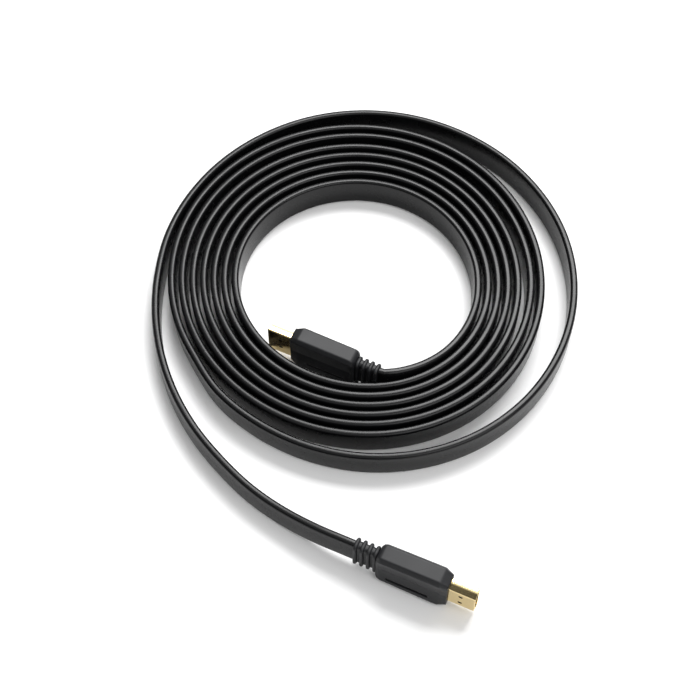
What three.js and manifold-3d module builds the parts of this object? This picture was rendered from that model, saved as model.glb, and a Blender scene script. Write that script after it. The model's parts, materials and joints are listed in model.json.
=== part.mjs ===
// Flat ribbon hdmi cable, standing on its narrow edge and wound into a flat coil, with a moulded plug
// on each end. The inner plug lies inside the coil, the outer one at the end of a loose tail.
// Millimetres, +Z up. The origin is the middle of the whole outline, on the surface the cable lies on.

import * as THREE from 'three';
import { mergeVertices } from 'three/addons/utils/BufferGeometryUtils.js';
import Module from 'manifold-3d';

const wasm = await Module();
wasm.setup();

// Gap between two pieces that meet
const pieceGap = 0.3;

// Ribbon
const ribbonWidth = 12.8;
const ribbonThickness = 3.2;
const ribbonEdgeBevel = 0.9;
const tubeStep = 12;

// Coil, wound anticlockwise from its inner end and seen from above. Angles in degrees.
const turnGap = 1.43;
const turnPitch = ribbonThickness + turnGap;
const firstTurnRadius = 51.4;
const coilEndAngle = 2370;
const coilPointAngle = 15;
const grooveDepth = 2.4;
// The hand-wound turns drift and are a little oval: values of the first turn and of turn number roundTurns
const roundTurns = 6;
const innerShift = new THREE.Vector2(-0.1, -1.1);
const outerShift = new THREE.Vector2(-0.8, 1.1);
const innerOval = new THREE.Vector2(-0.3, -0.9);
const outerOval = new THREE.Vector2(-1.6, -0.9);
const threeLobe = -0.35;
// The outer turns stand off the inner ones on one side
const standOff = 1.6;
const standOffSide = 45;
const standOffStart = 1710;
const standOffRamp = 90;

// Where the ribbon isn't coiled, hand-chosen points of its middle line. The lead to the inner plug and the
// loose outer turn: angle round the coil, and distance inside the first turn or outside the last one.
const leadRoute = [
  [283, 4.1], [288, 3.9], [295, 3.9], [302, 4.0], [311, 4.1], [320, 4.2], [329, 4.2], [338, 4.2], [347, 4.2],
];
const looseRoute = [
  [225, 6.4], [240, 7.4], [255, 8.6], [270, 9.9], [285, 11.0], [300, 12.0], [315, 12.7], [330, 13.2],
  [345, 13.8], [360, 14.1], [375, 13.9], [390, 13.1], [405, 12.1], [420, 10.9], [435, 9.9], [450, 8.8],
  [465, 7.5], [480, 6.1], [495, 5.1], [510, 4.6], [525, 4.9], [540, 5.9],
];
// The tail from the loose turn's end to the outer plug, from the point where it leaves the turn
const tailLeaveAngle = 180;
const tailRoute = [
  [0.2, -17.0], [2.4, -32.3], [6.4, -47.1], [12.3, -61.5], [20.3, -75.5], [30.4, -88.6],
  [43.0, -101.8], [56.0, -111.9], [70.5, -121.1],
];
// Near a plug the ribbon climbs from the surface to the plug's axis
const climbLength = 40;
const floorClearance = 0.1;

// Plug shell: the standard D of the 19-way plug. Its two chamfered corners are on the local -Y side.
const shellWidth = 13.9;
const shellHeight = 4.45;
const shellChamferWidth = 1.9;
const shellChamferHeight = 2.05;
const shellWall = 0.35;
const shellExposed = 10.8;
const shellEmbedded = 6;
const latchHoleLength = 1.7;
const latchHoleWidth = 1.2;
const latchHoleSpacing = 4.8;
const latchHoleFromTip = 5.8;

// Insulator inside the shell, and its mouth
const insulatorSetBack = 0.7;
const insulatorClearance = 0.1;
const mouthWidth = 10.8;
const mouthHeight = 1.75;
const mouthDepth = 8;

// Contacts: one row on each long wall of the mouth
const contactPitch = 1.0;
const wideRowCount = 10;
const contactWidth = 0.4;
const contactThickness = 0.25;
const contactLength = 6.4;
const contactSetBack = 0.8;
const contactClearance = 0.1;

// Overmould: the plug's body and its ribbed strain relief in one moulding
const bodyLength = 29.3;
const bodySideWall = 2.8;
const bodyFaceWall = 2.275;
const bodyEdgeBevel = 1.1;
const rearTaper = 0.6;
const rearThinning = 0.1;
const rearRound = 2.2;
const frontTaperLength = 3.3;
const frontRim = 1.0;
const reliefWall = 0.3;
const reliefRibCount = 4;
const ribPitch = 2.75;
const ribLength = 1.6;
const ribRise = 0.6;
const ribDepth = 1.1;
const ribBevel = 0.35;
const gripLength = 17.8;
const gripHeight = 0.9;
const gripDepth = 0.5;
const gripFromFront = 4.6;
const gripFromSide = 3.0;

// Where the two strain reliefs end, and the plugs' headings. The inner one: angle round the coil and distance
// inside the first turn. The outer one: from the point where the tail leaves the loose turn.
const innerEndAngle = 278.4;
const innerEndInside = 5.2;
const innerPlugHeading = 154.7;
const outerEnd = new THREE.Vector2(84.7, -128.2);
const outerPlugHeading = -24.6;
// The ribbon leaves a strain relief straight for this length
const straightLength = 1.5;

// Worked out from the above
const bodyWidth = shellWidth + 2 * bodySideWall;
const bodyThickness = shellHeight + 2 * bodyFaceWall;
const frontFaceWidth = shellWidth + 2 * frontRim;
const frontFaceThickness = shellHeight + 2 * frontRim;
const plugAxisHeight = bodyWidth / 2;
const reliefLength = (reliefRibCount - 1) * ribPitch + ribLength;
const reliefWidth = ribbonWidth + 2 * reliefWall;
const reliefThickness = ribbonThickness + 2 * reliefWall;

// Finishes
const jacketBlack = new THREE.MeshStandardMaterial({ color: 0x1b1c1f, roughness: 0.42, metalness: 0 });
const mouldBlack = new THREE.MeshStandardMaterial({ color: 0x232427, roughness: 0.62, metalness: 0 });
const shellGold = new THREE.MeshStandardMaterial({ color: 0xd8bf7c, roughness: 0.28, metalness: 1 });
const insulatorBlack = new THREE.MeshStandardMaterial({ color: 0x101012, roughness: 0.5, metalness: 0 });
const contactGold = new THREE.MeshStandardMaterial({ color: 0xd9b45a, roughness: 0.3, metalness: 1 });

const degrees = THREE.MathUtils.degToRad;

// Solids

function toSolid(geometry) {
  const bare = geometry.clone();
  bare.deleteAttribute('normal');
  bare.deleteAttribute('uv');
  const merged = mergeVertices(bare, 1e-5);
  return new wasm.Manifold(new wasm.Mesh({
    numProp: 3,
    vertProperties: merged.attributes.position.array,
    triVerts: merged.index.array,
  }));
}

function toGeometry(solid) {
  const mesh = solid.getMesh();
  const geometry = new THREE.BufferGeometry();
  geometry.setAttribute('position', new THREE.BufferAttribute(mesh.vertProperties, 3));
  geometry.setIndex(new THREE.BufferAttribute(mesh.triVerts, 1));
  return geometry;
}

function outlineShape(points) {
  return new THREE.Shape(points.map(([a, b]) => new THREE.Vector2(a, b)));
}

// A section in the local YZ plane, drawn out along X
function extrudeAlongX(shape, fromX, length) {
  const geometry = new THREE.ExtrudeGeometry(shape, { depth: length, bevelEnabled: false });
  geometry.applyMatrix4(new THREE.Matrix4().set(0, 0, 1, fromX, 1, 0, 0, 0, 0, 1, 0, 0, 0, 0, 0, 1));
  return geometry;
}

// A top view in the local XY plane, drawn out along Z about the axis
function extrudeAlongZ(shape, height) {
  const geometry = new THREE.ExtrudeGeometry(shape, { depth: height, bevelEnabled: false });
  return geometry.translate(0, 0, -height / 2);
}

// A side view in the local XZ plane, drawn out along Y about the axis
function extrudeAlongY(shape, height) {
  const geometry = new THREE.ExtrudeGeometry(shape, { depth: height, bevelEnabled: false });
  return geometry.rotateX(Math.PI / 2).translate(0, height / 2, 0);
}

// A rectangle with its corners cut off
function bevelledRectangle(sizeA, sizeB, bevel) {
  const a = sizeA / 2;
  const b = sizeB / 2;
  return outlineShape([
    [a - bevel, -b], [a, -b + bevel], [a, b - bevel], [a - bevel, b],
    [-a + bevel, b], [-a, b - bevel], [-a, -b + bevel], [-a + bevel, -b],
  ]);
}

// The same outline with each edge moved inwards. Points run anticlockwise.
function insetOutline(points, inset) {
  const count = points.length;
  const edges = points.map(([a, b], i) => {
    const [c, d] = points[(i + 1) % count];
    const length = Math.hypot(c - a, d - b);
    const normal = [-(d - b) / length, (c - a) / length];
    return { normal, offset: normal[0] * a + normal[1] * b + inset };
  });
  return points.map((_, i) => {
    const one = edges[(i + count - 1) % count];
    const two = edges[i];
    const cross = one.normal[0] * two.normal[1] - one.normal[1] * two.normal[0];
    return [
      (one.offset * two.normal[1] - two.offset * one.normal[1]) / cross,
      (one.normal[0] * two.offset - two.normal[0] * one.offset) / cross,
    ];
  });
}

// Route of the ribbon's middle line

function coilRadius(angle) {
  const turn = angle / 360;
  const share = turn / roundTurns;
  const a = degrees(angle);
  const shift = innerShift.clone().lerp(outerShift, share);
  const oval = innerOval.clone().lerp(outerOval, share);
  const ramp = THREE.MathUtils.clamp((angle - standOffStart) / standOffRamp, 0, 1);
  return firstTurnRadius + turnPitch * turn
    + shift.x * Math.cos(a) + shift.y * Math.sin(a)
    + oval.x * Math.cos(2 * a) + oval.y * Math.sin(2 * a)
    + threeLobe * Math.cos(3 * a)
    + standOff * ramp * (1 + Math.cos(a - degrees(standOffSide))) / 2;
}

function coilPoint(angle, height = ribbonWidth / 2) {
  const radius = coilRadius(angle);
  const a = degrees(angle);
  return new THREE.Vector3(radius * Math.cos(a), radius * Math.sin(a), height);
}

function polarPoint(angle, radius) {
  return new THREE.Vector2(radius * Math.cos(degrees(angle)), radius * Math.sin(degrees(angle)));
}

// The loose outer turn runs on from the coil's end, outside the turn before it
function loosePoint([angle, outside]) {
  const lastTurn = coilEndAngle - (coilEndAngle % 360) - 360;
  return polarPoint(angle, coilRadius(lastTurn + angle) + outside);
}

// A point at a distance along a plug's axis, from a point on it
function alongPlug(point, heading, distance) {
  return polarPoint(heading, distance).add(point);
}

// A stretch of ribbon between a plug and the coil: its points climb towards the plug
function stretchPoints(list, plugEnd) {
  const low = ribbonWidth / 2 + floorClearance;
  return list.map(({ x, y }) => {
    const near = 1 - Math.hypot(x - plugEnd.x, y - plugEnd.y) / climbLength;
    const climb = THREE.MathUtils.smoothstep(near, 0, 1);
    return new THREE.Vector3(x, y, low + (plugAxisHeight - low) * climb);
  });
}

// Ribbon section: X runs across the narrow edges, Y through the thickness
const ribbonSection = bevelledRectangle(ribbonWidth, ribbonThickness, ribbonEdgeBevel);

function ribbonTube(curve) {
  curve.arcLengthDivisions = 2000;
  const steps = Math.ceil(curve.getLength() / tubeStep);
  return new THREE.ExtrudeGeometry(ribbonSection, { steps, extrudePath: curve });
}

// A smooth curve through the points, without a length at each of its ends
class TrimmedCurve extends THREE.Curve {
  constructor(points, startTrim, endTrim) {
    super();
    this.curve = new THREE.CatmullRomCurve3(points, false, 'centripetal');
    this.curve.arcLengthDivisions = 4000;
    const length = this.curve.getLength();
    this.from = startTrim / length;
    this.to = 1 - endTrim / length;
  }

  getPoint(share, target) {
    return this.curve.getPointAt(THREE.MathUtils.lerp(this.from, this.to, share), target);
  }
}

// Coil: the ribbon's turns, joined below their edges by a plain web so that the turns show on both ends

function coilGeometry() {
  const points = [];
  for (let angle = -coilPointAngle; angle <= coilEndAngle + coilPointAngle; angle += coilPointAngle) {
    points.push(coilPoint(angle));
  }
  const startTrim = points[0].distanceTo(points[1]);
  const endTrim = points.at(-1).distanceTo(points.at(-2));
  const turns = toSolid(ribbonTube(new TrimmedCurve(points, startTrim, endTrim)));
  const seam = coilPointAngle / 3;
  const outer = [];
  const inner = [];
  for (let angle = 0; angle < 360; angle += coilPointAngle) {
    const outerPoint = coilPoint(coilEndAngle - seam - 360 + angle);
    const innerPoint = coilPoint(seam + angle);
    outer.push([outerPoint.x, outerPoint.y]);
    inner.push([innerPoint.x, innerPoint.y]);
  }
  const lastOuter = coilPoint(coilEndAngle - seam);
  const lastInner = coilPoint(seam + 360);
  outer.push([lastOuter.x, lastOuter.y]);
  inner.push([lastInner.x, lastInner.y]);
  const webShape = outlineShape(outer);
  webShape.holes.push(outlineShape(inner));
  const web = extrudeAlongZ(webShape, ribbonWidth - 2 * grooveDepth).translate(0, 0, ribbonWidth / 2);
  return toGeometry(turns.add(toSolid(web)));
}

const innerEnd = polarPoint(innerEndAngle, coilRadius(innerEndAngle) - innerEndInside);
const tailStart = loosePoint(looseRoute.at(-1));
const outerEndPoint = outerEnd.clone().add(tailStart);

function leadGeometry() {
  const height = ribbonWidth / 2 + floorClearance;
  const route = [
    alongPlug(innerEnd, innerPlugHeading, -straightLength),
    ...leadRoute.map(([angle, inside]) => polarPoint(angle, coilRadius(angle) - inside)),
  ];
  const points = [
    new THREE.Vector3(innerEnd.x, innerEnd.y, plugAxisHeight),
    ...stretchPoints(route, innerEnd),
    coilPoint(0, height),
    coilPoint(coilPointAngle, height),
  ];
  const overrun = points.at(-1).distanceTo(points.at(-2));
  return ribbonTube(new TrimmedCurve(points, pieceGap, overrun + pieceGap));
}

function tailGeometry() {
  const height = ribbonWidth / 2 + floorClearance;
  const route = [
    ...looseRoute.map(loosePoint),
    ...tailRoute.map(([x, y]) => new THREE.Vector2(x, y).add(tailStart)),
    alongPlug(outerEndPoint, outerPlugHeading, -straightLength),
  ];
  const points = [
    coilPoint(coilEndAngle - coilPointAngle, height),
    coilPoint(coilEndAngle, height),
    ...stretchPoints(route, outerEndPoint),
    new THREE.Vector3(outerEndPoint.x, outerEndPoint.y, plugAxisHeight),
  ];
  const overrun = points[0].distanceTo(points[1]);
  return ribbonTube(new TrimmedCurve(points, overrun + pieceGap, pieceGap));
}

// Plug, with its axis on local X, its width on Z and X = 0 at the body's rear face

const shellOutline = [
  [shellHeight / 2, -shellWidth / 2],
  [shellHeight / 2, shellWidth / 2],
  [-shellHeight / 2 + shellChamferHeight, shellWidth / 2],
  [-shellHeight / 2, shellWidth / 2 - shellChamferWidth],
  [-shellHeight / 2, -shellWidth / 2 + shellChamferWidth],
  [-shellHeight / 2 + shellChamferHeight, -shellWidth / 2],
];
const shellStart = bodyLength - shellEmbedded;
const shellTip = bodyLength + shellExposed;

function shellGeometry() {
  const shape = outlineShape(shellOutline);
  shape.holes.push(outlineShape(insetOutline(shellOutline, shellWall)));
  let shell = toSolid(extrudeAlongX(shape, shellStart, shellTip - shellStart));
  for (const side of [-1, 1]) {
    const hole = new THREE.BoxGeometry(latchHoleLength, 2 * shellHeight, latchHoleWidth);
    hole.translate(shellTip - latchHoleFromTip, 0, side * latchHoleSpacing / 2);
    shell = shell.subtract(toSolid(hole));
  }
  return toGeometry(shell);
}

// Contact rows: side is +1 on the wide wall of the mouth and -1 on the chamfered one
function contactPlaces() {
  const places = [];
  for (const [side, count] of [[1, wideRowCount], [-1, wideRowCount - 1]]) {
    for (let i = 0; i < count; i += 1) {
      places.push({
        x: shellTip - insulatorSetBack - contactSetBack - contactLength / 2,
        y: side * (mouthHeight + contactThickness) / 2,
        z: (i - (count - 1) / 2) * contactPitch,
      });
    }
  }
  return places;
}

function insulatorGeometry() {
  const front = shellTip - insulatorSetBack;
  const outline = outlineShape(insetOutline(shellOutline, shellWall + insulatorClearance));
  let block = toSolid(extrudeAlongX(outline, shellStart, front - shellStart));
  const mouth = new THREE.BoxGeometry(2 * mouthDepth, mouthHeight, mouthWidth);
  block = block.subtract(toSolid(mouth.translate(front, 0, 0)));
  for (const place of contactPlaces()) {
    const groove = new THREE.BoxGeometry(
      contactLength + 2 * contactClearance,
      contactThickness + 2 * contactClearance,
      contactWidth + 2 * contactClearance,
    );
    block = block.subtract(toSolid(groove.translate(place.x, place.y, place.z)));
  }
  return toGeometry(block);
}

// Side view of the body: it widens from the cable to the front and is tapered at the front edge
function bodySideView() {
  const rear = bodyWidth / 2 - rearTaper;
  const front = frontFaceWidth / 2;
  return outlineShape([
    [0, -rear + rearRound], [rearRound / 3, -rear + rearRound / 3], [rearRound, -rear],
    [bodyLength - frontTaperLength, -bodyWidth / 2], [bodyLength, -front],
    [bodyLength, front], [bodyLength - frontTaperLength, bodyWidth / 2],
    [rearRound, rear], [rearRound / 3, rear - rearRound / 3], [0, rear - rearRound],
  ]);
}

function bodyTopView() {
  const rear = bodyThickness / 2 - rearThinning;
  const round = rearRound / 2;
  const front = frontFaceThickness / 2;
  return outlineShape([
    [0, -rear + round], [round, -rear],
    [bodyLength - frontTaperLength, -bodyThickness / 2], [bodyLength, -front],
    [bodyLength, front], [bodyLength - frontTaperLength, bodyThickness / 2],
    [round, rear], [0, rear - round],
  ]);
}

function overmouldGeometry() {
  const section = bevelledRectangle(bodyThickness, bodyWidth, bodyEdgeBevel);
  let mould = toSolid(extrudeAlongX(section, 0, bodyLength));
  mould = mould.intersect(toSolid(extrudeAlongY(bodySideView(), 2 * bodyThickness)));
  mould = mould.intersect(toSolid(extrudeAlongZ(bodyTopView(), 2 * bodyWidth)));

  const core = bevelledRectangle(reliefThickness, reliefWidth, ribbonEdgeBevel);
  mould = mould.add(toSolid(extrudeAlongX(core, -reliefLength, reliefLength + rearRound)));
  const ribThickness = reliefThickness + 2 * ribDepth;
  const ribWidth = reliefWidth + 2 * ribRise;
  const ribCorner = ribbonEdgeBevel + ribRise;
  for (let i = 0; i < reliefRibCount; i += 1) {
    const start = -reliefLength + i * ribPitch;
    const full = bevelledRectangle(ribThickness, ribWidth, ribCorner);
    const low = bevelledRectangle(ribThickness - 2 * ribBevel, ribWidth - 2 * ribBevel, ribCorner - ribBevel / 2);
    mould = mould.add(toSolid(extrudeAlongX(full, start + ribBevel, ribLength - 2 * ribBevel)));
    mould = mould.add(toSolid(extrudeAlongX(low, start, ribLength)));
  }

  const pocket = outlineShape(insetOutline(shellOutline, -pieceGap));
  mould = mould.subtract(toSolid(extrudeAlongX(pocket, shellStart - pieceGap, shellEmbedded + shellExposed)));
  for (const side of [-1, 1]) {
    const grip = new THREE.BoxGeometry(gripLength, 2 * gripDepth, gripHeight);
    const gripX = bodyLength - frontTaperLength - gripFromFront - gripLength / 2;
    grip.translate(gripX, side * bodyThickness / 2, -bodyWidth / 2 + gripFromSide + gripHeight / 2);
    mould = mould.subtract(toSolid(grip));
  }
  return toGeometry(mould);
}

// Assembly

function addPiece(group, name, geometry, material) {
  geometry.computeVertexNormals();
  const mesh = new THREE.Mesh(geometry, material);
  mesh.name = name;
  group.add(mesh);
  return mesh;
}

function makePlug(name, end, heading) {
  const plug = new THREE.Group();
  addPiece(plug, `${name}_overmould`, overmouldGeometry(), mouldBlack);
  addPiece(plug, `${name}_shell`, shellGeometry(), shellGold);
  addPiece(plug, `${name}_insulator`, insulatorGeometry(), insulatorBlack);
  contactPlaces().forEach((spot, i) => {
    const strip = new THREE.BoxGeometry(contactLength, contactThickness, contactWidth);
    const number = String(i + 1).padStart(2, '0');
    addPiece(plug, `${name}_contact_${number}`, strip, contactGold).position.set(spot.x, spot.y, spot.z);
  });
  const place = alongPlug(end, heading, reliefLength);
  plug.position.set(place.x, place.y, plugAxisHeight);
  plug.rotation.z = degrees(heading);
  return plug;
}

const cable = new THREE.Group();
addPiece(cable, 'ribbon_coil', coilGeometry(), jacketBlack);
addPiece(cable, 'ribbon_lead', leadGeometry(), jacketBlack);
addPiece(cable, 'ribbon_tail', tailGeometry(), jacketBlack);
cable.add(makePlug('inner_plug', innerEnd, innerPlugHeading));
cable.add(makePlug('outer_plug', outerEndPoint, outerPlugHeading));

const outline = new THREE.Box3().setFromObject(cable, true);
const middle = outline.getCenter(new THREE.Vector3());
cable.position.set(-middle.x, -middle.y, -outline.min.z);

export default cable;
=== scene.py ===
"""Looks for a flat hdmi cable: the ribbon wound into a flat coil on its edge, and its two moulded plugs.

Lengths in the settings are real metres. The lists below are in millimetres from the coil's centre, as in
the part's source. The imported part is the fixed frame, and nothing here moves or resizes it.
"""

import json
import math

import bmesh
import bpy
import numpy as np
from bpy.props import FloatProperty, FloatVectorProperty, PointerProperty
from bpy.types import Operator, Panel, PropertyGroup
from mathutils import Matrix, Vector

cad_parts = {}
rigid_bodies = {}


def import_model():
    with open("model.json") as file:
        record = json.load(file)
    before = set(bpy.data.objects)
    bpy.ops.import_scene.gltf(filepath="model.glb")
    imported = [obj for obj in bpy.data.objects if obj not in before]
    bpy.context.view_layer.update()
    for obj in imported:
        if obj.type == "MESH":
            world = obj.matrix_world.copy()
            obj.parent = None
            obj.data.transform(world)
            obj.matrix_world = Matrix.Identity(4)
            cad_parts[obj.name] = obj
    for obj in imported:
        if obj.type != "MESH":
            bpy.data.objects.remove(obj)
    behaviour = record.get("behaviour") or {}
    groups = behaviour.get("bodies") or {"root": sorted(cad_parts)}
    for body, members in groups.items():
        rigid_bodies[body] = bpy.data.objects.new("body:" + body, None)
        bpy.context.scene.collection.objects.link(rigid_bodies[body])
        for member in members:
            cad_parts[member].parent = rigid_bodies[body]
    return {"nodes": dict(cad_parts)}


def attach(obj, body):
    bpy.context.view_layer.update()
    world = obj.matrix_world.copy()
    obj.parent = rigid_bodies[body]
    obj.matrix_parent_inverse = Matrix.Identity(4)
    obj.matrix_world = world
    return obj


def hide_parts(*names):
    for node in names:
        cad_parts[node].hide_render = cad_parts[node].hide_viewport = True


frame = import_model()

bl_info = {
    "name": "Flat cable looks",
    "version": (1, 0, 0),
    "blender": (4, 5, 0),
    "location": "3D View > Sidebar > Cable",
    "description": "Builds the ribbon, the plugs, their finishes and the studio around the packed cable",
    "category": "Object",
}

MM = 0.001

# Where the coil's centre lies in the part's frame
COIL_CENTRE = (-2.1987, 28.0841)

# Coil route, wound anticlockwise from its inner end. Angles in degrees, the rest in millimetres.
FIRST_TURN_RADIUS = 51.4
TURN_PITCH = 4.63
COIL_END_ANGLE = 2370
ROUND_TURNS = 6
INNER_SHIFT = (-0.1, -1.1)
OUTER_SHIFT = (-0.8, 1.1)
INNER_OVAL = (-0.3, -0.9)
OUTER_OVAL = (-1.6, -0.9)
THREE_LOBE = -0.35
STAND_OFF = 1.6
STAND_OFF_SIDE = 45
STAND_OFF_START = 1710
STAND_OFF_RAMP = 90

# Given points of the ribbon's middle line where it isn't coiled. Lead and loose turn: angle round the
# coil, and distance inside the first turn or outside the last one. Tail: from where it leaves the loose turn.
LEAD_ROUTE = [
    (283, 4.1), (288, 3.9), (295, 3.9), (302, 4.0), (311, 4.1),
    (320, 4.2), (329, 4.2), (338, 4.2), (347, 4.2),
]
LAST_TURN = 1800
LOOSE_ROUTE = [
    (225, 6.4), (240, 7.4), (255, 8.6), (270, 9.9), (285, 11.0), (300, 12.0), (315, 12.7), (330, 13.2),
    (345, 13.8), (360, 14.1), (375, 13.9), (390, 13.1), (405, 12.1), (420, 10.9), (435, 9.9), (450, 8.8),
    (465, 7.5), (480, 6.1), (495, 5.1), (510, 4.6), (525, 4.9), (540, 5.9),
]
TAIL_ROUTE = [
    (0.2, -17.0), (2.4, -32.3), (6.4, -47.1), (12.3, -61.5), (20.3, -75.5), (30.4, -88.6),
    (43.0, -101.8), (56.0, -111.9), (70.5, -121.1),
]
CLIMB_LENGTH = 40
STRAIGHT_LENGTH = 1.5

# Ends of the two strain reliefs, given in the same two ways, and the plugs' headings
INNER_END = (278.4, 5.2)
OUTER_END = (84.7, -128.2)
HEADINGS = {"inner_plug": 154.7, "outer_plug": -24.6}
PLUG_AXIS = 9.75

# Plug sizes in millimetres, along its axis from the body's rear face
SHELL = (13.9, 4.45)
SHELL_CHAMFER = (1.9, 2.05)
BODY_LENGTH = 29.3
SHELL_TIP = BODY_LENGTH + 10.8
BODY = (19.5, 9.0)
# The body's bevel, along its narrow and its wide side, and how deep its wide faces are dished
BODY_BEVEL = (1.3, 1.8)
DISH = 1.3
RIB_PITCH = 2.75
RIB_LENGTH = 1.6
RIBS = 4
RELIEF_LENGTH = (RIBS - 1) * RIB_PITCH + RIB_LENGTH
# A rib's rounding: share of its length, then share of its rise above the core
RIB_PROFILE = ((0.0, 0.2), (0.05, 0.6), (0.2, 0.9), (0.5, 1.0), (0.8, 0.9), (0.95, 0.6), (1.0, 0.2))
# Thickness and width of a rib, and of the core between two ribs
RIB_SIZE = (6.0, 14.6)
RELIEF_CORE = (3.7, 13.3)
# The rounded rear of the body: place along the axis, then how far its narrow and wide sides stand back
REAR_ROUND = ((0.0, 2.6, 1.3), (0.25, 1.5, 0.75), (0.8, 0.7, 0.3), (1.6, 0.2, 0.08), (2.4, 0.0, 0.0))
REAR_ROUND_END = REAR_ROUND[-1][0]
FRONT_TAPER = 3.3
# Grip slot and latch hole: length, height and depth of their cutters, then their places
GRIP = (17.8, 1.3, 2.2)
GRIP_PLACE = 13.2
GRIP_HEIGHT = -BODY[0] / 2 + 4.5
GRIP_RADIUS = 0.6
HOLE = (1.7, 1.2, 2.0)
HOLE_FROM_TIP = 5.8
HOLE_FROM_AXIS = 2.4
HOLE_RADIUS = 0.2
WALL = 0.35
MOULDING_ROUGHNESS = 0.5


class RibbonSettings(PropertyGroup):
    width: FloatProperty(name="Width", description="Across the flat faces", default=0.0128, unit="LENGTH")
    thickness: FloatProperty(
        name="Thickness", description="Between the flat faces", default=0.0032, unit="LENGTH"
    )
    corner: FloatProperty(
        name="Edge radius", description="Rounding of the edges", default=0.00125, unit="LENGTH"
    )
    step: FloatProperty(name="Step", description="Distance between two rings", default=0.0024, unit="LENGTH")
    colour: FloatVectorProperty(
        name="Jacket colour", description="Colour of the soft jacket", subtype="COLOR",
        default=(0.003, 0.0031, 0.0035)
    )
    roughness: FloatProperty(name="Roughness", description="Roughness of the jacket", default=0.27)


class PlugSettings(PropertyGroup):
    colour: FloatVectorProperty(
        name="Moulding colour", description="Colour of the plug's body", subtype="COLOR",
        default=(0.009, 0.0094, 0.0108)
    )
    gold: FloatVectorProperty(
        name="Gold colour", description="Colour of the plated shell", subtype="COLOR",
        default=(0.86, 0.69, 0.36)
    )
    grain: FloatProperty(
        name="Grain", description="Size of the moulding's grain", default=0.00025, unit="LENGTH"
    )


class StageSettings(PropertyGroup):
    camera_distance: FloatProperty(
        name="Camera distance", description="From the aim point on the floor", default=0.5915, unit="LENGTH"
    )
    camera_height: FloatProperty(
        name="Camera elevation", description="Above the horizon", default=math.radians(57), subtype="ANGLE"
    )
    floor_colour: FloatVectorProperty(
        name="Floor colour", description="Colour of the plain floor", subtype="COLOR",
        default=(0.93, 0.93, 0.93)
    )


# Shapes


def outline(points, radius, per_corner=6):
    """A convex outline with rounded corners, anticlockwise, as a list of points."""
    count = len(points)
    result = []
    for i, corner in enumerate(points):
        corner = np.array(corner, float)
        before = np.array(points[i - 1], float) - corner
        after = np.array(points[(i + 1) % count], float) - corner
        before /= np.linalg.norm(before)
        after /= np.linalg.norm(after)
        half = math.acos(float(np.clip(before @ after, -1, 1))) / 2
        middle = (before + after) / np.linalg.norm(before + after)
        centre = corner + middle * radius / math.sin(half)
        start = corner + before * radius / math.tan(half) - centre
        sweep = math.pi - 2 * half
        for j in range(per_corner):
            turn = sweep * j / (per_corner - 1)
            c, s = math.cos(turn), math.sin(turn)
            result.append(centre + np.array([c * start[0] - s * start[1], s * start[0] + c * start[1]]))
    return np.array(result)


def rectangle(across, up, radius, per_corner=6):
    a, b = across / 2, up / 2
    radius = min(radius, 0.499 * min(across, up))
    return outline([(a, -b), (a, b), (-a, b), (-a, -b)], radius, per_corner)


def bevelled(across, up, bevel, radius=0.5, per_corner=5):
    """A rectangle with its corners cut off and the eight new corners rounded a little."""
    a, b = across / 2, up / 2
    c, d = bevel
    points = [
        (a, -b + d), (a, b - d), (a - c, b), (-a + c, b),
        (-a, b - d), (-a, -b + d), (-a + c, -b), (a - c, -b),
    ]
    return outline(points, radius, per_corner)


def plug_outline(grow, radius, per_corner=6):
    """The shell's D: narrower on its -Y side. grow is the distance outside the nominal shell."""
    w, h = SHELL[0] / 2, SHELL[1] / 2
    cw, ch = SHELL_CHAMFER
    slant = math.atan2(cw, ch)
    w, h = w + grow, h + grow
    cut_w = cw + grow * math.tan(slant / 2)
    cut_h = ch + grow * math.tan((math.pi / 2 - slant) / 2)
    points = [(h, -w), (h, w), (-h + cut_h, w), (-h, w - cut_w), (-h, -w + cut_w), (-h + cut_h, -w)]
    return outline(points, radius, per_corner)


def finer(closed, parts):
    """A line with each of its sides cut into this many equal parts, without its last point."""
    steps = np.linspace(0, 1, parts, endpoint=False)[:, None]
    return np.vstack([a + (b - a) * steps for a, b in zip(closed, closed[1:])])


def by_angle(points, angles):
    """The same convex outline, sampled at these angles about the origin."""
    closed = np.vstack([points, points[:1]])
    dense = finer(closed, 24)
    at = np.arctan2(dense[:, 1], dense[:, 0])
    order = np.argsort(at)
    reach = np.interp(angles, at[order], np.hypot(*dense.T)[order], period=2 * math.pi)
    return np.stack([reach * np.cos(angles), reach * np.sin(angles)], 1)


def standing(x, flat):
    """A flat outline, standing at this place along the plug's axis."""
    return np.column_stack([np.full(len(flat), x), flat])


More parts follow.
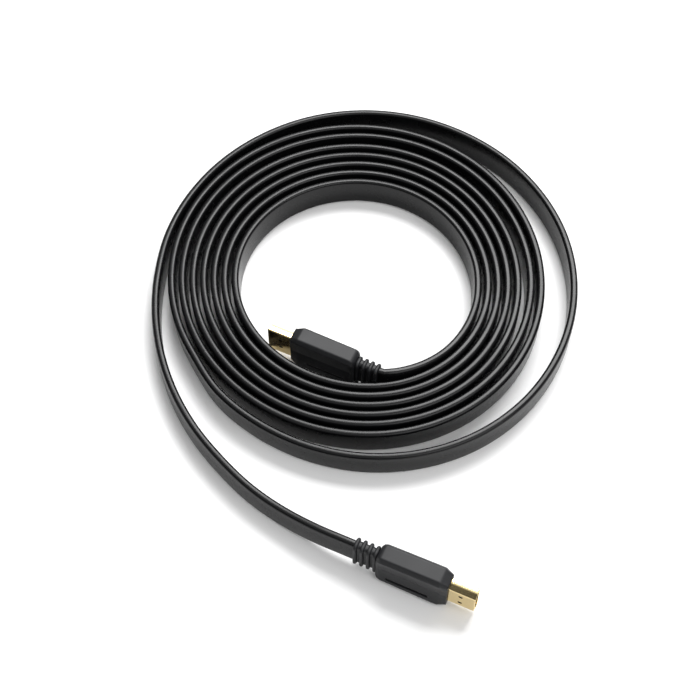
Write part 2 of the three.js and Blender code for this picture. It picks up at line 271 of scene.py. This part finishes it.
def skin(name, rings, closed=False, sharp=math.radians(35)):
    """A closed skin through rings of the same number of points, with flat ends or joined end to end."""
    rings = np.array(rings, float)
    rows, cols = rings.shape[:2]
    bm = bmesh.new()
    bmesh.ops.create_grid(bm, x_segments=cols, y_segments=rows if closed else rows - 1, size=1)
    last = rows if closed else rows - 1
    uv = bm.loops.layers.uv.new("UVMap")
    seam, lines = [], {}
    for v in bm.verts:
        column = round((v.co.x + 1) / 2 * cols)
        row = round((v.co.y + 1) / 2 * last)
        lines[v] = (column, row)
        if column in (0, cols) or (closed and row in (0, last)):
            seam.append(v)
    for face in bm.faces:
        for loop in face.loops:
            column, row = lines[loop.vert]
            loop[uv].uv = (column / cols, row / last)
    for v, (column, row) in lines.items():
        v.co = Vector(rings[row % rows, column % cols])
    bmesh.ops.remove_doubles(bm, verts=seam, dist=1e-7)
    if not closed:
        edges = [e for e in bm.edges if e.is_boundary]
        bmesh.ops.holes_fill(bm, edges=edges, sides=0)
    bmesh.ops.recalc_face_normals(bm, faces=bm.faces)
    for face in bm.faces:
        face.smooth = True
    for edge in bm.edges:
        if edge.is_manifold and edge.calc_face_angle(0) > sharp:
            edge.smooth = False
    mesh = bpy.data.meshes.new(name)
    bm.to_mesh(mesh)
    bm.free()
    piece = bpy.data.objects.new(name, mesh)
    bpy.context.scene.collection.objects.link(piece)
    return piece


def even_shading(piece):
    """Shades rounded corners smoothly and keeps large flat faces flat."""
    change = piece.modifiers.new("shading", "WEIGHTED_NORMAL")
    change.keep_sharp = True
    change.weight = 90


def cut(piece, cutters):
    """Takes the cutters' shapes out of the piece, for good."""
    for cutter in cutters:
        change = piece.modifiers.new("cut", "BOOLEAN")
        change.operation = "DIFFERENCE"
        change.solver = "EXACT"
        change.object = cutter
    graph = bpy.context.evaluated_depsgraph_get()
    mesh = bpy.data.meshes.new_from_object(piece.evaluated_get(graph))
    mesh.name = piece.name
    piece.modifiers.clear()
    piece.data = mesh
    for cutter in cutters:
        bpy.data.objects.remove(cutter)


def place_plug(mesh, plug):
    """Moves a mesh from the plug's own frame, in millimetres, to its place in the part's frame."""
    x, y = plug_place(plug) + COIL_CENTRE
    turn = Matrix.Rotation(math.radians(HEADINGS[plug]), 4, "Z")
    mesh.transform(Matrix.Translation(Vector((x, y, PLUG_AXIS)) * MM) @ turn @ Matrix.Scale(MM, 4))


# Route of the ribbon


def coil_radius(angle):
    turn = angle / 360
    share = turn / ROUND_TURNS
    a = np.radians(angle)
    shift = [i + (o - i) * share for i, o in zip(INNER_SHIFT, OUTER_SHIFT)]
    oval = [i + (o - i) * share for i, o in zip(INNER_OVAL, OUTER_OVAL)]
    ramp = np.clip((angle - STAND_OFF_START) / STAND_OFF_RAMP, 0, 1)
    return (
        FIRST_TURN_RADIUS + TURN_PITCH * turn
        + shift[0] * np.cos(a) + shift[1] * np.sin(a)
        + oval[0] * np.cos(2 * a) + oval[1] * np.sin(2 * a)
        + THREE_LOBE * np.cos(3 * a)
        + STAND_OFF * ramp * (1 + np.cos(a - math.radians(STAND_OFF_SIDE))) / 2
    )


def polar(angle, radius):
    a = math.radians(angle)
    return np.array([radius * math.cos(a), radius * math.sin(a)])


def loose_point(angle, outside):
    return polar(angle, coil_radius(LAST_TURN + angle) + outside)


def relief_end(plug):
    if plug == "inner_plug":
        angle, inside = INNER_END
        return polar(angle, coil_radius(angle) - inside)
    return loose_point(*LOOSE_ROUTE[-1]) + OUTER_END


def plug_place(plug):
    """The middle of the body's rear face, from the coil's centre."""
    return relief_end(plug) + polar(HEADINGS[plug], RELIEF_LENGTH)


def smooth_line(points):
    """A centripetal Catmull-Rom line through the points, finely sampled."""
    p = np.array(points, float)
    p = np.vstack([2 * p[0] - p[1], p, 2 * p[-1] - p[-2]])
    result = []
    for a, b, c, d in zip(p, p[1:], p[2:], p[3:]):
        t0 = 0.0
        t1 = t0 + np.linalg.norm(b - a) ** 0.5
        t2 = t1 + np.linalg.norm(c - b) ** 0.5
        t3 = t2 + np.linalg.norm(d - c) ** 0.5
        t = np.linspace(t1, t2, 40, endpoint=False)[:, None]
        one = (t1 - t) / (t1 - t0) * a + (t - t0) / (t1 - t0) * b
        two = (t2 - t) / (t2 - t1) * b + (t - t1) / (t2 - t1) * c
        three = (t3 - t) / (t3 - t2) * c + (t - t2) / (t3 - t2) * d
        four = (t2 - t) / (t2 - t0) * one + (t - t0) / (t2 - t0) * two
        five = (t3 - t) / (t3 - t1) * two + (t - t1) / (t3 - t1) * three
        result.append((t2 - t) / (t2 - t1) * four + (t - t1) / (t2 - t1) * five)
    result.append(p[-2][None])
    return np.vstack(result)


def ribbon_line(settings):
    """The ribbon's middle line in millimetres, evenly spaced, with the distance along it, each ring's lift
    and the ribbon's half width.
    """
    angles = np.arange(0, COIL_END_ANGLE + 1, 10.0)
    radii = coil_radius(angles)
    coil = np.stack([radii * np.cos(np.radians(angles)), radii * np.sin(np.radians(angles))], 1)
    start, end = relief_end("inner_plug"), relief_end("outer_plug")
    tail_start = loose_point(*LOOSE_ROUTE[-1])
    line = smooth_line([
        start, start - polar(HEADINGS["inner_plug"], STRAIGHT_LENGTH),
        *[polar(angle, coil_radius(angle) - inside) for angle, inside in LEAD_ROUTE],
        *coil, *[loose_point(*spot) for spot in LOOSE_ROUTE], *[tail_start + spot for spot in TAIL_ROUTE],
        end - polar(HEADINGS["outer_plug"], STRAIGHT_LENGTH), end,
    ])
    along = np.concatenate([[0], np.cumsum(np.hypot(*np.diff(line, axis=0).T))])
    steps = round(along[-1] * MM / settings.step)
    even = np.linspace(0, along[-1], steps + 1)
    line = np.stack([np.interp(even, along, line[:, i]) for i in (0, 1)], 1)
    low = settings.width / MM / 2
    lift = np.zeros(len(line))
    for point in (start, end):
        near = np.clip(1 - np.hypot(*(line - point).T) / CLIMB_LENGTH, 0, 1)
        reach = np.abs(even - (0 if point is start else even[-1]))
        near[reach > 2 * CLIMB_LENGTH] = 0
        lift += (PLUG_AXIS - low - 0.12) * near * near * (3 - 2 * near)
    return line, even, lift, low


def ribbon_rings(settings):
    line, even, lift, low = ribbon_line(settings)
    tangent = np.gradient(line, axis=0)
    tangent /= np.linalg.norm(tangent, axis=1)[:, None]
    outward = np.stack([tangent[:, 1], -tangent[:, 0]], 1)
    share = even / even[-1]
    ends = np.clip(np.minimum(even, even[-1] - even) / 60, 0, 1)
    lean = np.radians(
        2.0 + 0.8 * np.sin(even / 71.0) + 0.6 * np.sin(even / 173.0 + 1.0)
        - 3.0 * np.clip((share - 0.93) / 0.04, 0, 1)
    ) * ends
    height = 0.12 + 0.08 * (1 + np.sin(even / 97.0 + 0.6)) * ends
    half_t = settings.thickness / MM
    section = rectangle(half_t, 2 * low, settings.corner / MM)
    rings = []
    for p, side, tilt, up in zip(line, outward, lean, lift + height):
        c, s = math.cos(tilt), math.sin(tilt)
        across = section[:, 0] * c + (section[:, 1] - low) * s
        z = (section[:, 1] - low) * c - section[:, 0] * s + 2 * low + up
        rings.append(np.column_stack([p[0] + side[0] * across, p[1] + side[1] * across, z]))
    rings = np.array(rings)
    rings[:, :, 2] += np.maximum(0, 0.02 - rings[:, :, 2].min(axis=1))[:, None]
    rings[:, :, :2] += COIL_CENTRE
    return rings * MM


# Materials


def new_material(name, colour, roughness, metallic=0.0):
    material = bpy.data.materials.new(name)
    material.use_nodes = True
    material.diffuse_color = (*colour, 1)
    shader = material.node_tree.nodes["Principled BSDF"]
    shader.inputs["Base Color"].default_value = (*colour, 1)
    shader.inputs["Roughness"].default_value = roughness
    shader.inputs["Metallic"].default_value = metallic
    return material, material.node_tree, shader


def grain_group():
    """Fine grain: object-space noise at a given scale, as a height, a tint factor and a roughness."""
    group = bpy.data.node_groups.new("Grain", "ShaderNodeTree")
    face = group.interface
    face.new_socket("Scale", in_out="INPUT", socket_type="NodeSocketFloat")
    face.new_socket("Roughness", in_out="INPUT", socket_type="NodeSocketFloat")
    face.new_socket("Spread", in_out="INPUT", socket_type="NodeSocketFloat")
    face.new_socket("Height", in_out="OUTPUT", socket_type="NodeSocketFloat")
    face.new_socket("Roughness", in_out="OUTPUT", socket_type="NodeSocketFloat")
    face.new_socket("Tint", in_out="OUTPUT", socket_type="NodeSocketFloat")
    nodes, links = group.nodes, group.links
    entry = nodes.new("NodeGroupInput")
    leave = nodes.new("NodeGroupOutput")
    where = nodes.new("ShaderNodeTexCoord")
    fine = nodes.new("ShaderNodeTexNoise")
    fine.inputs["Detail"].default_value = 3
    links.new(where.outputs["Object"], fine.inputs["Vector"])
    links.new(entry.outputs["Scale"], fine.inputs["Scale"])
    broad = nodes.new("ShaderNodeTexNoise")
    broad.inputs["Scale"].default_value = 90
    broad.inputs["Detail"].default_value = 4
    links.new(where.outputs["Object"], broad.inputs["Vector"])
    centred = nodes.new("ShaderNodeMath")
    centred.operation = "SUBTRACT"
    centred.inputs[1].default_value = 0.5
    links.new(broad.outputs["Fac"], centred.inputs[0])
    spread = nodes.new("ShaderNodeMath")
    spread.operation = "MULTIPLY_ADD"
    links.new(centred.outputs[0], spread.inputs[0])
    links.new(entry.outputs["Spread"], spread.inputs[1])
    links.new(entry.outputs["Roughness"], spread.inputs[2])
    links.new(fine.outputs["Fac"], leave.inputs["Height"])
    links.new(spread.outputs[0], leave.inputs["Roughness"])
    links.new(broad.outputs["Fac"], leave.inputs["Tint"])
    return group


def add_grain(tree, shader, group, scale, roughness, spread, bump, dark, light):
    """Grain on a shader: bump, uneven roughness, and a tint between two colours."""
    nodes, links = tree.nodes, tree.links
    grain = nodes.new("ShaderNodeGroup")
    grain.node_tree = group
    grain.inputs["Scale"].default_value = scale
    grain.inputs["Roughness"].default_value = roughness
    grain.inputs["Spread"].default_value = spread
    links.new(grain.outputs["Roughness"], shader.inputs["Roughness"])
    relief = nodes.new("ShaderNodeBump")
    relief.inputs["Strength"].default_value = bump
    relief.inputs["Distance"].default_value = 0.00005
    links.new(grain.outputs["Height"], relief.inputs["Height"])
    links.new(relief.outputs["Normal"], shader.inputs["Normal"])
    tint = nodes.new("ShaderNodeMix")
    tint.data_type = "RGBA"
    tint.inputs["A"].default_value = (*dark, 1)
    tint.inputs["B"].default_value = (*light, 1)
    links.new(grain.outputs["Tint"], tint.inputs["Factor"])
    links.new(tint.outputs["Result"], shader.inputs["Base Color"])
    return grain


def shade(colour, factor):
    return tuple(min(1.0, channel * factor) for channel in colour)


def shared_grain():
    return bpy.data.node_groups.get("Grain") or grain_group()


def shiny_metal(name, colour, roughness):
    material, tree, shader = new_material(name, colour, roughness, 1.0)
    add_grain(
        tree, shader, shared_grain(), 2600, roughness, 0.12, 0.08, shade(colour, 0.93), shade(colour, 1.05),
    )
    return material


# Operators


class CABLE_OT_camera(Operator):
    """Places the camera at the photograph's angle"""

    bl_idname = "cable.camera"
    bl_label = "Place camera"

    def execute(self, context):
        settings = context.scene.cable_stage
        aim = Vector((COIL_CENTRE[0] - 4.34, COIL_CENTRE[1] - 30.9, 0)) * MM
        e = settings.camera_height
        back = Vector((0, -math.cos(e), math.sin(e)))
        data = bpy.data.cameras.new("camera")
        data.sensor_width = 36
        data.lens = 18 * 1390 / 350
        data.clip_start, data.clip_end = 0.01, 20
        camera = bpy.data.objects.new("camera", data)
        camera.location = aim + back * settings.camera_distance
        camera.rotation_mode = "QUATERNION"
        camera.rotation_quaternion = (-back).to_track_quat("-Z", "Y")
        context.scene.collection.objects.link(camera)
        context.scene.camera = camera
        return {"FINISHED"}


class CABLE_OT_ribbon(Operator):
    """Builds the whole ribbon in one length, from plug to plug"""

    bl_idname = "cable.ribbon"
    bl_label = "Build ribbon"

    def execute(self, context):
        settings = context.scene.cable_ribbon
        rings = ribbon_rings(settings)
        ribbon = skin("ribbon", rings)
        material, tree, shader = new_material("jacket", settings.colour, settings.roughness)
        add_grain(
            tree, shader, shared_grain(), 1400, settings.roughness, 0.16, 0.06,
            shade(settings.colour, 0.8), shade(settings.colour, 1.2),
        )
        shader.inputs["Specular IOR Level"].default_value = 0.24
        ribbon.data.materials.append(material)
        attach(ribbon, "root")
        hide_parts("ribbon_coil", "ribbon_lead", "ribbon_tail")
        on_it = [o for n, o in frame["nodes"].items() if n.startswith("outer_plug_") and not o.hide_render]
        on_it += [o for o in bpy.data.objects if o.name in ("outer_plug_body", "outer_plug_gold_shell")]
        return {"FINISHED"}


def overmould_rings():
    """Rings of a plug's body and strain relief along its axis, from the cable into the shell's pocket."""
    around = bevelled(BODY[1], BODY[0], BODY_BEVEL)
    closed = np.vstack([around, around[:1]])
    dense = finer(closed, 6)
    seg = np.hypot(*np.diff(np.vstack([dense, dense[:1]]), axis=0).T)
    at = np.concatenate([[0], np.cumsum(seg)])
    even = np.linspace(0, at[-1], 144, endpoint=False)
    points = np.vstack([dense, dense[:1]])
    angles = np.arctan2(np.interp(even, at, points[:, 1]), np.interp(even, at, points[:, 0]))

    rings = []

    def ring(x, thick, wide, radius):
        flat = by_angle(rectangle(thick, wide, radius), angles)
        rings.append(standing(x, flat))

    def body_ring(x, thick, wide, bevel, dish):
        """A ring of the body, whose two wide faces are dished towards their middle line."""
        flat = by_angle(bevelled(thick, wide, bevel), angles)
        half = wide / 2 - bevel[1]
        deep = dish * np.clip(1 - np.abs(flat[:, 1]) / half, 0, 1)
        flat[:, 0] -= np.sign(flat[:, 0]) * np.minimum(deep, np.abs(flat[:, 0]))
        rings.append(standing(x, flat))

    def pocket(x, grow):
        flat = by_angle(plug_outline(grow, 0.5), angles)
        rings.append(standing(x, flat))

    core_t, core_w = RELIEF_CORE
    rib_t, rib_w = RIB_SIZE
    ring(-RELIEF_LENGTH, 4.4, 13.7, 1.6)
    for i in range(RIBS):
        start = -RELIEF_LENGTH + i * RIB_PITCH
        for share, grow in RIB_PROFILE:
            thick = core_t + (rib_t - core_t) * grow
            wide = core_w + (rib_w - core_w) * grow
            ring(start + RIB_LENGTH * share, thick, wide, 1.9)
        if i < RIBS - 1:
            ring(start + RIB_LENGTH + 0.04, core_t, core_w, 1.4)
            ring(start + RIB_PITCH - 0.04, core_t, core_w, 1.4)
    rear_t, rear_w = BODY[1] - 0.2, BODY[0] - 1.2
    for x, inset, sink in REAR_ROUND:
        body_ring(x, rear_t - 2 * sink, rear_w - 2 * inset, BODY_BEVEL, DISH * x / REAR_ROUND_END)
    front = BODY_LENGTH - FRONT_TAPER
    for share in np.linspace(0.08, 1, 10):
        x = REAR_ROUND_END + (front - 0.6 - REAR_ROUND_END) * share
        body_ring(x, rear_t + 0.2 * share, rear_w + 1.2 * share, BODY_BEVEL, DISH)
    body_ring(front, BODY[1] - 0.1, BODY[0] - 0.15, BODY_BEVEL, DISH)
    body_ring(front + 0.5, BODY[1] - 0.45, BODY[0] - 0.6, BODY_BEVEL, 0.8 * DISH)
    body_ring(BODY_LENGTH - 0.35, 6.95, 16.5, (1.0, 1.3), 0.1 * DISH)
    ring(BODY_LENGTH - 0.1, 6.65, 16.15, 1.2)
    ring(BODY_LENGTH, 6.35, 15.85, 1.1)
    pocket(BODY_LENGTH, 0.22)
    pocket(BODY_LENGTH - 0.12, 0.1)
    pocket(BODY_LENGTH - 4.5, 0.1)
    return np.array(rings)


def rounded_bar(name, size, at, radius):
    """A bar with rounded ends, lying along X."""
    length, across, deep = size
    flat = rectangle(length, across, radius, 7)
    rings = []
    for y in (-deep / 2, deep / 2):
        rings.append(np.column_stack([flat[:, 0], np.full(len(flat), y), flat[:, 1]]) + np.array(at))
    return skin(name, rings)


class CABLE_OT_overmoulds(Operator):
    """Builds the two plug bodies with their ribbed strain reliefs"""

    bl_idname = "cable.overmoulds"
    bl_label = "Build plug bodies"

    def execute(self, context):
        settings = context.scene.cable_plug
        material, tree, shader = new_material("moulding", settings.colour, MOULDING_ROUGHNESS)
        add_grain(
            tree, shader, shared_grain(), 1 / settings.grain, MOULDING_ROUGHNESS, 0.1, 0.35,
            shade(settings.colour, 0.85), shade(settings.colour, 1.15),
        )
        shader.inputs["Specular IOR Level"].default_value = 0.36
        for plug in HEADINGS:
            name = plug + "_body"
            body = skin(name, overmould_rings(), sharp=math.radians(50))
            grips = [
                rounded_bar("grip", GRIP, (GRIP_PLACE, side * BODY[1] / 2, GRIP_HEIGHT), GRIP_RADIUS)
                for side in (-1, 1)
            ]
            cut(body, grips)
            body.data.materials.clear()
            body.data.materials.append(material)
            place_plug(body.data, plug)
            even_shading(body)
            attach(body, "root")
            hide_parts(f"{plug}_overmould")
        return {"FINISHED"}


class CABLE_OT_shells(Operator):
    """Builds the two gold plug shells with rounded corners and latch holes"""

    bl_idname = "cable.shells"
    bl_label = "Build plug shells"

    def execute(self, context):
        settings = context.scene.cable_plug
        gold = shiny_metal("gold plate", settings.gold, 0.11)
        back, tip = BODY_LENGTH - 4.4, SHELL_TIP
        for plug in HEADINGS:
            rings = []
            for x, grow in (
                (back, 0.0), (tip - 6, 0.0), (tip - 0.25, 0.0), (tip - 0.08, -0.03), (tip, -0.11),
                (tip, -0.22), (tip - 0.08, -0.31), (tip - 0.25, -WALL), (tip - 6, -WALL), (back, -WALL),
            ):
                flat = plug_outline(grow, 0.62 + grow)
                rings.append(standing(x, flat))
            shell = skin(plug + "_gold_shell", rings, closed=True, sharp=math.radians(60))
            holes = [
                rounded_bar("hole", HOLE, (tip - HOLE_FROM_TIP, y, side * HOLE_FROM_AXIS), HOLE_RADIUS)
                for side in (-1, 1)
                for y in (-SHELL[1] / 2, SHELL[1] / 2)
            ]
            cut(shell, holes)
            shell.data.materials.clear()
            shell.data.materials.append(gold)
            place_plug(shell.data, plug)
            even_shading(shell)
            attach(shell, "root")
            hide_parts(f"{plug}_shell")
        return {"FINISHED"}


class CABLE_OT_inner_parts(Operator):
    """Gives the insulators and the contacts their finishes"""

    bl_idname = "cable.inner_parts"
    bl_label = "Finish insulators and contacts"

    def execute(self, context):
        settings = context.scene.cable_plug
        plastic, tree, shader = new_material("insulator", (0.012, 0.012, 0.013), 0.4)
        add_grain(
            tree, shader, shared_grain(), 2000, 0.4, 0.1, 0.1, (0.01, 0.01, 0.011), (0.015, 0.015, 0.016),
        )
        plate = shiny_metal("contact plate", settings.gold, 0.25)
        for name, node in frame["nodes"].items():
            if "_contact_" in name:
                node.data.materials.clear()
                node.data.materials.append(plate)
            elif name.endswith("_insulator"):
                node.data.materials.clear()
                node.data.materials.append(plastic)
        return {"FINISHED"}


def area_light(name, at, aim, size, power):
    data = bpy.data.lights.new(name, "AREA")
    data.shape = "RECTANGLE"
    data.size, data.size_y = size
    data.energy = power
    light = bpy.data.objects.new(name, data)
    light.location = at
    light.rotation_mode = "QUATERNION"
    light.rotation_quaternion = (Vector(aim) - Vector(at)).to_track_quat("-Z", "Y")
    bpy.context.scene.collection.objects.link(light)
    return light


class CABLE_OT_stage(Operator):
    """Lays the plain floor and sets the soft studio light"""

    bl_idname = "cable.stage"
    bl_label = "Build stage"

    def execute(self, context):
        settings = context.scene.cable_stage
        bm = bmesh.new()
        bmesh.ops.create_grid(bm, x_segments=1, y_segments=1, size=1.15)
        mesh = bpy.data.meshes.new("floor")
        bm.to_mesh(mesh)
        bm.free()
        floor = bpy.data.objects.new("floor", mesh)
        context.scene.collection.objects.link(floor)
        material, tree, shader = new_material("floor", settings.floor_colour, 0.9)
        shader.inputs["Specular IOR Level"].default_value = 0.1
        mesh.materials.append(material)

        world = bpy.data.worlds.new("studio")
        world.use_nodes = True
        nodes, links = world.node_tree.nodes, world.node_tree.links
        sky = nodes["Background"]
        sky.inputs["Color"].default_value = (1, 1, 1, 1)
        sky.inputs["Strength"].default_value = 0.1
        backdrop = nodes.new("ShaderNodeBackground")
        backdrop.inputs["Color"].default_value = (1, 1, 1, 1)
        ray = nodes.new("ShaderNodeLightPath")
        seen = nodes.new("ShaderNodeMixShader")
        links.new(ray.outputs["Is Camera Ray"], seen.inputs[0])
        links.new(sky.outputs[0], seen.inputs[1])
        links.new(backdrop.outputs[0], seen.inputs[2])
        links.new(seen.outputs[0], nodes["World Output"].inputs["Surface"])
        context.scene.world = world
        area_light("top light", (0.35, 0.2, 1.4), (0.35, 0.2, 0), (3.4, 4.8), 30)
        area_light("back light", (0.3, 1.0, 1.5), (0, 0, 0), (1.15, 0.8), 42)
        area_light("fill light", (0.75, -0.8, 1.2), (0, 0, 0), (1.2, 1.2), 10)
        context.scene.view_settings.view_transform = "Standard"
        return {"FINISHED"}


class CABLE_PT_panel(Panel):
    """Sizes, colours and steps of the cable"""

    bl_idname = "CABLE_PT_panel"
    bl_label = "Flat cable"
    bl_space_type = "VIEW_3D"
    bl_region_type = "UI"
    bl_category = "Cable"

    def draw(self, context):
        layout = self.layout
        for group in (context.scene.cable_ribbon, context.scene.cable_plug, context.scene.cable_stage):
            box = layout.box()
            for name in group.__annotations__:
                box.prop(group, name)
        for operator in OPERATORS:
            layout.operator(operator.bl_idname)


SETTINGS = {"cable_ribbon": RibbonSettings, "cable_plug": PlugSettings, "cable_stage": StageSettings}
OPERATORS = (
    CABLE_OT_camera, CABLE_OT_overmoulds, CABLE_OT_shells, CABLE_OT_inner_parts, CABLE_OT_ribbon,
    CABLE_OT_stage,
)
CLASSES = (*SETTINGS.values(), *OPERATORS, CABLE_PT_panel)


def register():
    for item in CLASSES:
        bpy.utils.register_class(item)
    for name, group in SETTINGS.items():
        setattr(bpy.types.Scene, name, PointerProperty(type=group))


def unregister():
    for name in SETTINGS:
        delattr(bpy.types.Scene, name)
    for item in reversed(CLASSES):
        bpy.utils.unregister_class(item)


def main():
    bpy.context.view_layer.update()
    register()
    bpy.ops.cable.camera()
    bpy.ops.cable.overmoulds()
    bpy.ops.cable.shells()
    bpy.ops.cable.inner_parts()
    bpy.ops.cable.ribbon()
    bpy.ops.cable.stage()


if __name__ == "__main__":
    main()
